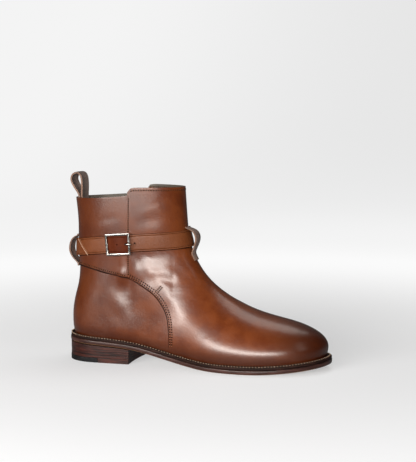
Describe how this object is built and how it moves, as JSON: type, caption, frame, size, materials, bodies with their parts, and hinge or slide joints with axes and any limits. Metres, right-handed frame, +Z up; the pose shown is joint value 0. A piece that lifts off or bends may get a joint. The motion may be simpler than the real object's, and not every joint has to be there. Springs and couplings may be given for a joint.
{
  "type": "jodhpur boot",
  "caption": "Right ankle boot in brown calf with a buckled wrap strap held by keepers, a back pull loop, a stitched welt and a stacked heel.",
  "frame": {"origin": "middle of the boot's box in plan, on the floor that it stands on", "axes": "+X runs from the heel to the toe, +Y to the inner side of the right foot, +Z up"},
  "size_m": [0.3052, 0.105, 0.2138],
  "materials": {
    "calf": "polished chestnut calf leather, darker at toe and heel",
    "strap_calf": "chestnut calf strap with creased edges",
    "dark_leather": "dark brown leather, smooth",
    "sole_leather": "dark reddish brown stained sole leather, waxed edge",
    "lining_leather": "tan lining leather, matt",
    "top_piece_rubber": "black rubber, matt",
    "buckle_steel": "polished nickel-plated steel"
  },
  "bodies": {
    "root": {"upper": "calf", "strap": "strap_calf", "front_keeper": "dark_leather", "back_keeper": "dark_leather", "pull_loop": "dark_leather", "welt": "sole_leather", "outsole": "sole_leather", "heel_lift_1": "sole_leather", "heel_lift_2": "sole_leather", "heel_lift_3": "sole_leather", "top_piece_leather": "sole_leather", "top_piece_rubber": "top_piece_rubber", "insole": "lining_leather", "buckle": "buckle_steel", "prong": "buckle_steel"}
  },
  "joints": []
}
